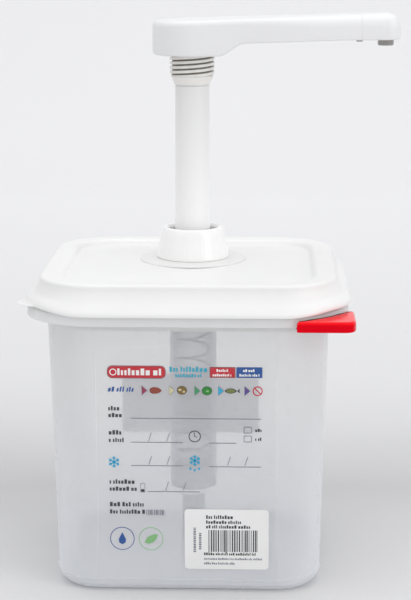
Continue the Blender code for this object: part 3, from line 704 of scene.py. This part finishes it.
def build_spout():
    """The arm's separate tip, with a rounded end and the open nozzle under it."""
    start = SEAM + 0.05
    corner = 8.0
    flat = TIP - corner
    end = arm_half_width(flat) - corner
    side = arm_side(start, flat, 14) + arc(flat, end, corner, 90.0, 0.0, 18)
    side += [(TIP + 0.02 * (1 - share), end * share) for share in (0.75, 0.5, 0.25, 0.0)]
    tip = finish_mesh("spout_tip_shell", arm_skin(side), "head", 40.0)
    settle(tip, "spout", "head_plastic", "spout_tip")

    centre = Vector(((nozzle_low.x + nozzle_high.x) / 2.0, PUMP.y, 0.0))
    outer, bore = (nozzle_high.y - nozzle_low.y) / 2.0, 3.0
    low, high = nozzle_low.z, nozzle_high.z
    profile = rounded([
        (bore, high), (outer - 0.2, high), (outer, low + 1.0, 0.3), (outer - 0.3, low, 0.3),
        (bore, low, 0.3)], 4)
    nozzle = turned("spout_nozzle_tube", profile, "nozzle", 72, centre)
    settle(nozzle, "spout", "nozzle_plastic", "spout_nozzle")


# ---- stem and locking sleeve
def build_stem():
    """A drafted tube, widest at its foot, with a fine groove where the sleeve ends."""
    foot, neck, bore = stem_high.y - PUMP.y, 9.5, 6.2
    low, high = stem_low.z, stem_high.z
    groove, groove_r = sleeve_low.z - 0.1, neck - 0.35
    taper_low, taper_high = 193.0, 271.5
    profile = rounded([
        (bore, high), (neck, high, 0.3), (neck, groove), (groove_r, groove - 0.1),
        (groove_r, groove - 0.5), (neck, groove - 0.8), (neck, taper_high), (foot, taper_low),
        (foot, low, 0.3), (bore, low)], 3)
    stem = turned("stem_tube", profile, "stem", 128)
    settle(stem, "head", "stem_plastic", "pump_stem")


def build_sleeve():
    """The locking sleeve's two-start thread, then a plain taper down to a shadowed step."""
    low, high = sleeve_low.z, sleeve_high.z
    crest, root, bore = sleeve_high.y - PUMP.y, 11.05, 9.8
    pitch, starts = 2.52, 2
    lead = pitch * starts
    thread_low = high - 11.4
    rows = 170

    def outer(angle, radius, z):
        if radius:
            return 0.0
        phase = ((z - lead * angle / (2.0 * pi) - high + 0.6) / pitch) % 1.0
        ridge = smoothstep(phase, 0.06, 0.20) * (1.0 - smoothstep(phase, 0.70, 0.84))
        run_out = smoothstep(z, thread_low, thread_low + 1.2)
        shoulder = 10.1 + 1.7 * smoothstep(z, low, thread_low + 0.6)
        plain = shoulder + (root - shoulder) * run_out
        return plain + (crest - root) * ridge * run_out

    profile = [(0.0, low + (high - low) * row / rows) for row in range(rows + 1)]
    profile = [(bore, low)] + profile + [(bore, high)]
    sleeve = turned("lock_sleeve", profile, "thread", 144, ripple=outer, crease=55.0)
    settle(sleeve, "head", "white_plastic", "thread_sleeve")


# ---- pump under the lid
def build_cylinder():
    """A thin barrel under a wider neck, which has a flange that sits on the lid's hole."""
    neck, counterbore, outer, bore, flange = 15.0, 12.9, 13.2, 11.2, 20.0
    low, high = cylinder_low.z, cylinder_high.z
    flange_low, flange_high, seat = 169.4, 172.0, 164.0
    profile = rounded([
        (counterbore, high, 0.3), (neck, high, 0.4), (neck, flange_high),
        (flange, flange_high, 0.4), (flange, flange_low, 0.4), (neck, flange_low, 0.3),
        (neck, 161.5, 0.6), (outer, 159.0, 0.6), (outer, low, 0.3), (bore, low, 0.3), (bore, seat),
        (counterbore, seat)], 3)
    barrel = turned("pump_barrel", profile, "cylinder", 96)
    settle(barrel, "lid_assembly", "cylinder_plastic", "pump_cylinder")


def build_spring():
    """Round wire coil with closed ends."""
    wire, turns, per_turn, sides = 0.7, 10, 40, 12
    coil_r = (spring_high.y - spring_low.y) / 2.0 - wire
    low, high = spring_low.z + wire, spring_high.z - wire
    flat_turn, rise = 0.9, wire * 2.1
    rings = []
    for step in range(turns * per_turn + 1):
        turn = step / per_turn
        lift = min(max((turn - flat_turn) / (turns - 2.0 * flat_turn), 0.0), 1.0)
        ends = rise * (min(turn, flat_turn) - flat_turn) / flat_turn
        ends += rise * max(turn - turns + flat_turn, 0.0) / flat_turn
        z = low + rise + (high - low - 2.0 * rise) * lift + ends
        angle = 2.0 * pi * turn
        out = Vector((cos(angle), sin(angle), 0.0))
        ring = []
        for side in range(sides):
            around = 2.0 * pi * side / sides
            ring.append(PUMP + out * (coil_r + wire * cos(around))
                        + Vector((0, 0, z + wire * sin(around))))
        rings.append(ring)
    spring = finish_mesh("return_spring_coil", skin(rings), "spring", 60.0)
    settle(spring, "lid_assembly", "spring_steel", "return_spring")
    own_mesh(spring)


def finish_inner_nodes():
    """Pieces inside the pump keep their CAD shapes and take their real materials."""
    looks = {
        "white": ("stem_guide", "foot_valve_body", "foot_valve_cage", "piston",
                  "discharge_valve_retainer"),
        "silicone": ("stem_wiper", "lid_gasket", "piston_seal_lower", "piston_seal_upper"),
        "ball": ("foot_valve_ball", "discharge_valve_ball"),
        "cylinder": ("dip_tube",),
    }
    for look, nodes in looks.items():
        for node in nodes:
            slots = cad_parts[node].data.materials
            slots.clear()
            slots.append(mats[look])


# ---- flat artwork
def circle(x, z, radius, squash=1.0, steps=40):
    angles = [2.0 * pi * i / steps for i in range(steps)]
    return [(x + radius * cos(a), z + radius * squash * sin(a)) for a in angles]


def rectangle(x0, z0, x1, z1, radius=0.0):
    return rounded([(x0, z0, radius), (x1, z0, radius), (x1, z1, radius), (x0, z1, radius)])


def wobble(index, rate, shift=0.0):
    return abs(sin(rate * index + shift))


def uneven(start, end, width, gap):
    """Index, start and end of spans laid in a row, whose widths and gaps go by their index."""
    place, index = start, 0
    while place < end:
        size = width(index)
        yield index, place, place + size
        place += size + gap(index)
        index += 1


class Artwork:
    """Flat shapes in label coordinates (x, z in millimetres), printed on a drafted wall."""

    def __init__(self, name, side, lift, thickness=0.05):
        self.name, self.side, self.lift, self.thickness = name, side, lift, thickness
        self.shapes = {}

    def add(self, colour, outline, hole=None):
        self.shapes.setdefault(colour, []).append((outline, hole))

    def box(self, colour, x0, z0, x1, z1, radius=0.0):
        self.add(colour, rectangle(x0, z0, x1, z1, radius))

    def frame_box(self, colour, x0, z0, x1, z1, line, radius=0.0):
        self.add(colour, rectangle(x0, z0, x1, z1, radius),
                 rectangle(x0 + line, z0 + line, x1 - line, z1 - line,
                           max(radius - line, 0.5 * radius)))

    def edged(self, colour, edge, outline, share):
        """A filled shape in a darker outline, whose width is a share of the shape's own size."""
        middle = [sum(values) / len(outline) for values in zip(*outline)]
        inner = [tuple(m + (value - m) * (1.0 - share) for value, m in zip(point, middle))
                 for point in outline]
        self.add(edge, outline, inner)
        self.add(colour, inner)

    def hoop(self, colour, x, z, radius, line):
        self.add(colour, circle(x, z, radius, steps=56), circle(x, z, radius - line, steps=56))

    def stroke(self, colour, x0, z0, x1, z1, line):
        dx, dz = Vector((z0 - z1, x1 - x0)).normalized() * (line / 2.0)
        self.add(colour, [(x0 - dx, z0 - dz), (x1 - dx, z1 - dz), (x1 + dx, z1 + dz),
                          (x0 + dx, z0 + dz)])

    def words(self, colour, x0, z0, x1, height, seed, lean=0.0):
        """A line of writing stood in for by a row of plain blocks."""
        def width(index):
            return height * (0.46 + 0.16 * sin(12.9898 * (index + 1) + 78.233 * seed))

        def gap(index):
            return height * (0.5 if sin(2.3 * (index + 1) + seed) > 0.9 else 0.2)

        for index, x, end in uneven(x0, x1 - 0.25 * height, width, gap):
            top = z0 + height * (1.0 if sin(4.1 * index + seed) > 0.3 else 0.74)
            end = min(end, x1)
            self.add(colour, [(x, z0), (end, z0), (end + lean, top), (x + lean, top)])

    def loops(self, shape, outline):
        """An outline's vertices on the print's face and on its back."""
        return [[shape.verts.new((x, self.side * (CORNER_Y + pan_radius(z) + lift), z))
                 for x, z in outline] for lift in (self.lift + self.thickness, self.lift)]

    def build(self, body, slot, *nodes):
        """Make one thin solid of each colour. The first stands for the CAD nodes."""
        for colour, shapes in self.shapes.items():
            shape = bmesh.new()
            for outline, hole in shapes:
                front, back = self.loops(shape, outline)
                band(shape, front, back)
                if hole is None:
                    shape.faces.new(front)
                    shape.faces.new(list(reversed(back)))
                    continue
                hole_front, hole_back = self.loops(shape, hole)
                band(shape, hole_front, front)
                band(shape, back, hole_back)
                band(shape, hole_back, hole_front)
            if colour not in mats:
                mats[colour] = ink("ink_" + colour, INKS[colour])
            item = finish_mesh(f"{self.name}_{colour}", shape, colour, 30.0)
            settle(item, body, slot, *nodes)
            nodes = ()


def draw_snowflake(art, x, z, radius):
    for arm in range(6):
        angle = radians(30.0 + 60.0 * arm)
        dx, dz = radius * cos(angle), radius * sin(angle)
        art.stroke("sky", x, z, x + dx, z + dz, 0.75)
        fork_x, fork_z = x + 0.55 * dx, z + 0.55 * dz
        for side in (-1, 1):
            twig = angle + side * radians(50.0)
            art.stroke("sky", fork_x, fork_z, fork_x + 0.4 * radius * cos(twig),
                       fork_z + 0.4 * radius * sin(twig), 0.55)


def pod(x, z, half):
    """A pointed oval with its left end at x; half gives half its height along its length."""
    length, places = 6.6, [i / 12 for i in range(13)]
    return ([(x + length * t, z - half(t)) for t in places]
            + [(x + length * t, z + half(t)) for t in reversed(places)])


def draw_food_row(art, marks):
    """Five small foods, each after a coloured arrow, and a crossed-out hoop."""
    middle, arrow = 115.55, 2.95
    for colour, x in (("magenta", -23.8), ("cream", -9.1), ("green", 4.6), ("sky", 17.2),
                      ("purple", 31.3)):
        outline = [(x, middle - arrow), (x + 3.3, middle), (x, middle + arrow)]
        art.edged(colour, "grey", outline, 0.17)
    meat = pod(-19.4, middle, lambda t: (2.3 - 0.5 * sin(3.0 * t))
               * sin(pi * min(t + 0.06, 1.0)) ** 0.6)
    art.edged("meat", "maroon", meat, 0.14)
    art.edged("bread", "bark", circle(-2.1, middle + 0.2, 2.7, 0.88), 0.13)
    marks.add("cream", circle(-3.2, middle + 0.5, 0.8, 0.7))
    marks.add("cream", circle(-1.1, middle - 0.6, 0.7, 0.7))
    art.edged("leaf", "pine", circle(11.3, middle, 2.75, 0.9), 0.13)
    marks.add("lime", circle(11.6, middle - 0.2, 0.7, 0.8))
    fish = pod(20.7, middle, lambda t: 1.45 * sin(pi * t) ** 0.7)
    art.edged("fish", "black", fish, 0.2)
    art.add("black", [(27.35, middle), (29.2, middle - 1.4), (28.6, middle), (29.2, middle + 1.4)])
    art.hoop("red", 38.4, middle, 2.7, 0.62)
    art.stroke("red", 36.8, middle + 1.6, 40.0, middle - 1.6, 0.6)


def draw_front_print():
    """The pan's printed date panel with generic blocks in place of every word and mark."""
    art = Artwork("front_print", -1, 0.06)
    marks = Artwork("header_marks", -1, 0.12)
    art.frame_box("maroon", -42.2, 122.2, -10.7, 129.3, 0.4, 3.2)
    art.box("red", -41.75, 122.65, -11.15, 128.85, 2.8)
    art.box("blue", 27.0, 122.9, 40.9, 128.8, 0.2)
    art.frame_box("maroon", 12.8, 122.9, 26.5, 128.8, 0.4, 0.4)
    art.box("red", 13.25, 123.35, 26.05, 128.35, 0.2)
    art.words("teal", -8.7, 126.0, 11.4, 2.9, 1.0)
    art.words("teal", -5.6, 123.1, 8.4, 1.9, 2.0)
    art.words("blue", -42.0, 114.8, -27.4, 2.7, 3.0, 0.5)
    draw_food_row(art, marks)
    for z0, z1, right, seed in ((104.2, 100.4, -34.9, 4.0), (90.6, 86.4, -33.8, 5.0),
                                (62.6, 58.6, -27.2, 6.0), (49.6, 45.4, -23.4, 7.0)):
        art.words("black", -41.8, z0, right, 2.5, seed)
        art.words("black", -41.8, z1, right + 0.6, 2.4, seed + 0.5)
    for x0, x1, z in ((-29.8, 40.2, 99.9), (-29.9, -1.8, 86.4), (12.4, 26.8, 86.2),
                      (-29.9, -1.8, 73.1), (12.4, 40.3, 72.8), (-20.9, 7.4, 58.3)):
        art.box("grey", x0, z - 0.22, x1, z + 0.22)
    for z, places in ((86.9, (-20.4, -10.6)), (73.6, (-20.4, -10.6)), (73.5, (22.2, 31.6)),
                      (58.9, (-11.4, -1.9))):
        for x in places:
            art.stroke("grey", x, z, x + 1.7, z + 5.0, 0.4)
    art.hoop("black", 4.6, 89.9, 3.3, 0.5)
    art.stroke("black", 4.6, 89.9, 4.3, 92.3, 0.4)
    art.stroke("black", 4.6, 89.9, 5.9, 89.5, 0.4)
    for low in (91.8, 86.8):
        art.frame_box("grey", 31.0, low, 35.3, low + 3.8, 0.4)
        art.words("black", 37.2, low + 0.9, 40.6, 1.8, low)
    draw_snowflake(art, -39.2, 75.0, 3.2)
    draw_snowflake(art, 4.6, 76.2, 3.1)
    for x, z in ((2.2, 71.6), (4.6, 70.7), (7.0, 71.6)):
        art.add("sky", circle(x, z, 0.62, 1.2, 16))
    art.frame_box("grey", -25.1, 57.8, -22.5, 63.1, 0.3)
    art.add("black", [(-24.75, 58.15), (-22.85, 58.15), (-22.95, 59.6), (-24.65, 59.6)])
    for bar in range(10):
        x = -22.0 + bar * 1.04
        art.box("grey", x, 44.7, x + 0.42 + 0.22 * (bar % 3), 47.8)
    art.hoop("navy", -35.3, 31.0, 6.7, 0.42)
    art.hoop("lime", -19.6, 31.0, 6.7, 0.36)
    art.add("blue", [(-35.3, 34.6), (-33.3, 30.6), (-33.6, 28.6), (-35.3, 27.6), (-37.0, 28.6),
                     (-37.3, 30.6)])
    art.add("lime", [(-23.2, 28.8), (-21.6, 31.9), (-18.4, 33.5), (-15.9, 33.7), (-16.5, 31.0),
                     (-18.2, 28.9), (-20.8, 28.0)])
    art.build("pan", "label_film", "front_label")
    marks.words("white", -36.6, 124.0, -13.2, 3.7, 8.0)
    marks.hoop("white", -39.0, 125.7, 1.9, 0.5)
    for x0, x1 in ((14.4, 24.9), (28.6, 39.3)):
        marks.words("white", x0 + 2.0, 126.2, x1 - 2.0, 1.5, x0)
        marks.words("white", x0, 123.7, x1, 1.4, x1)
    marks.build("pan", "label_film")


def paper_base(name, side, lift, thickness, node, colour, slot, radius):
    """A sheet of paper that covers a CAD label. Its corners are returned in millimetres."""
    low, high = box(node)
    base = Artwork(name, side, lift, thickness)
    base.box(colour, low.x, low.z, high.x, high.z, radius)
    base.build("pan", slot, node)
    return low, high


def draw_sticker():
    """The white shelf sticker: stripes and blocks stand for its code and wording."""
    paper_base("sticker", -1, 0.32, 0.18, "barcode_sticker", "sticker", "sticker_paper", 2.2)
    art = Artwork("sticker_print", -1, 0.52, 0.03)
    for x1, z, high, seed in ((25.4, 43.0, 2.1, 1.0), (30.0, 40.2, 1.9, 2.0),
                              (35.0, 37.5, 1.9, 3.0)):
        art.words("black", 10.6, z, x1, high, seed)
    for index, x, end in uneven(11.9, 38.6, lambda i: 0.28 + 0.42 * wobble(i, 7.13, 0.6) ** 1.5,
                                lambda i: 0.26 + 0.55 * wobble(i, 3.71, 1.9) ** 2):
        art.box("black", x, 23.9 if index % 9 else 23.2, min(end, 39.0), 36.5)
    art.words("black", 9.4, 21.9, 38.2, 1.5, 9.0)
    art.words("grey", 9.4, 19.2, 41.0, 1.2, 10.0)
    art.words("grey", 9.4, 16.5, 26.4, 1.3, 11.0)
    for x, low, high in ((3.7, 23.6, 37.8), (6.7, 25.2, 34.8)):
        for _, z, end in uneven(low, high, lambda i: 0.6 + 0.5 * wobble(i, 5.3, x), lambda i: 0.35):
            art.box("grey", x, z, x + 1.3, min(end, high))
    art.build("pan", "sticker_paper")


def draw_rear_label():
    """The plain label on the back, with grey stripes and blocks in place of its wording."""
    low, high = paper_base("rear_sheet", 1, 0.1, 0.15, "rear_label", "rear", "rear_label_paper",
                           1.5)
    art = Artwork("rear_print", 1, 0.27, 0.03)
    for _, x, end in uneven(low.x + 4.0, low.x + 20.0, lambda i: 0.35 + 0.5 * wobble(i, 6.1),
                            lambda i: 0.45 + 0.5 * wobble(i, 2.9, 1.0)):
        art.box("grey", x, low.z + 9.0, end, low.z + 26.0)
    for row in range(6):
        art.words("grey", low.x + 28.0, high.z - 8.0 - 4.2 * row, high.x - 6.0 - 5.0 * (row % 3),
                  1.9, 20.0 + row)
    art.build("pan", "rear_label_paper")


# ---- studio
CAMERA_PLACE = Vector((0.0442, -0.9608, 0.3597))
CAMERA_YAW, CAMERA_PITCH, CAMERA_ROLL = -0.0376, 0.2144, -0.0025
CAMERA_LENS = 103.7                     # mm, on a 36 mm sensor
FLOOR_FRONT, FLOOR_BACK, HALF_WIDTH, SWEEP_R = -4000.0, 1400.0, 5000.0, 800.0
BACKDROP_TOP = 4000.0
FLOOR_GAP = 0.2                         # keeps the floor off the pan's base
# painted shade on the floor: (position, grey) stops from front to back, darkest just behind the pan
FLOOR_SHADE_TONES = ((0.12, 0.75), (0.18, 0.68), (0.26, 0.53), (0.36, 0.65), (0.44, 0.70), (1.0, 0.84))
WORLD_STRENGTH, WORLD_TONES = 0.85, ((0.3, 0.62), (0.9, 1.12))
STUDIO_LIGHTS = (                       # name, place, target, size and power
    ("top_box", (0.0, 0.2, 1.5), (0.0, 0.0, 0.1), (1.6, 1.4), 6.0),
    ("left_box", (-1.2, -0.9, 0.75), (0.0, 0.0, 0.13), (0.7, 1.0), 0.8),
    ("right_box", (1.25, -0.9, 0.75), (0.0, 0.0, 0.13), (0.7, 1.0), 4.6),
    ("back_box", (0.0, 1.2, 1.6), (0.0, 1.9, 0.5), (2.4, 0.8), 3.0),
)


def build_camera():
    data = bpy.data.cameras.new("camera")
    data.sensor_fit = "AUTO"
    data.sensor_width = 36.0
    data.lens = CAMERA_LENS
    data.clip_start, data.clip_end = 0.01, 50.0
    camera = bpy.data.objects.new("camera", data)
    bpy.context.scene.collection.objects.link(camera)
    ahead = Vector((sin(CAMERA_YAW) * cos(CAMERA_PITCH),
                    cos(CAMERA_YAW) * cos(CAMERA_PITCH), -sin(CAMERA_PITCH)))
    turn = ahead.to_track_quat("-Z", "Y").to_matrix().to_4x4()
    camera.matrix_world = (Matrix.Translation(CAMERA_PLACE) @ turn
                           @ Matrix.Rotation(CAMERA_ROLL, 4, "Z"))
    bpy.context.scene.camera = camera


def build_lights():
    for name, place, target, size, power in STUDIO_LIGHTS:
        data = bpy.data.lights.new(name, "AREA")
        data.shape = "RECTANGLE"
        data.size, data.size_y = size
        data.energy = power
        item = bpy.data.objects.new(name, data)
        bpy.context.scene.collection.objects.link(item)
        item.location = place
        ahead = Vector(target) - Vector(place)
        item.rotation_euler = ahead.to_track_quat("-Z", "Y").to_euler()


def build_sweep():
    """A pale sweep: a flat floor that curves up into a backdrop. Its grey carries painted shade,
    darkest in a band just behind the pan and lighter in front and towards the backdrop.
    """
    profile = [(FLOOR_FRONT, 0.0), *arc(FLOOR_BACK, SWEEP_R, SWEEP_R, -90.0, 0.0, 12),
               (FLOOR_BACK + SWEEP_R, BACKDROP_TOP)]
    shape = bmesh.new()
    rows = [[shape.verts.new((x, y, z - FLOOR_GAP)) for x in (-HALF_WIDTH, HALF_WIDTH)]
            for y, z in profile]
    for lower, upper in zip(rows, rows[1:]):
        shape.faces.new((lower[0], lower[1], upper[1], upper[0]))
    graph = Graph("studio_paper", (0.6, 0.6, 0.6), 0.9)
    back = graph.math("ADD", graph.ramp(graph.axis("Y"), -0.3, 1.3, 0.0, 1.0),
                      graph.ramp(graph.noise(3.0, 3.0), 0.3, 0.7, -0.01, 0.01))
    tone = tone_ramp(graph.nodes, FLOOR_SHADE_TONES)
    graph.links.new(back, tone.inputs["Fac"])
    graph.set("Base Color", tone.outputs["Color"])
    mats["floor"] = graph.material
    finish_mesh("studio_sweep", shape, "floor", 60.0)


def build_world():
    """An even surround, a little brighter overhead."""
    world = bpy.data.worlds.new("studio_world")
    world.use_nodes = True
    nodes, links = world.node_tree.nodes, world.node_tree.links
    sky = nodes.new("ShaderNodeSeparateXYZ")
    height = nodes.new("ShaderNodeMapRange")
    height.inputs["From Min"].default_value = -1.0
    tone = tone_ramp(nodes, WORLD_TONES)
    background = nodes["Background"].inputs
    background["Strength"].default_value = WORLD_STRENGTH
    links.new(nodes.new("ShaderNodeTexCoord").outputs["Generated"], sky.inputs["Vector"])
    links.new(sky.outputs["Z"], height.inputs["Value"])
    links.new(height.outputs["Result"], tone.inputs["Fac"])
    links.new(tone.outputs["Color"], background["Color"])
    bpy.context.scene.world = world


# ---- assembly
build_camera()
build_pan()
build_lid()
build_washer()
build_collar()
build_clip()
build_head()
build_spout()
build_stem()
build_sleeve()
build_cylinder()
build_spring()
finish_inner_nodes()
draw_front_print()
draw_sticker()
draw_rear_label()
build_sweep()
build_world()
build_lights()
bpy.context.scene.view_settings.view_transform = "Standard"
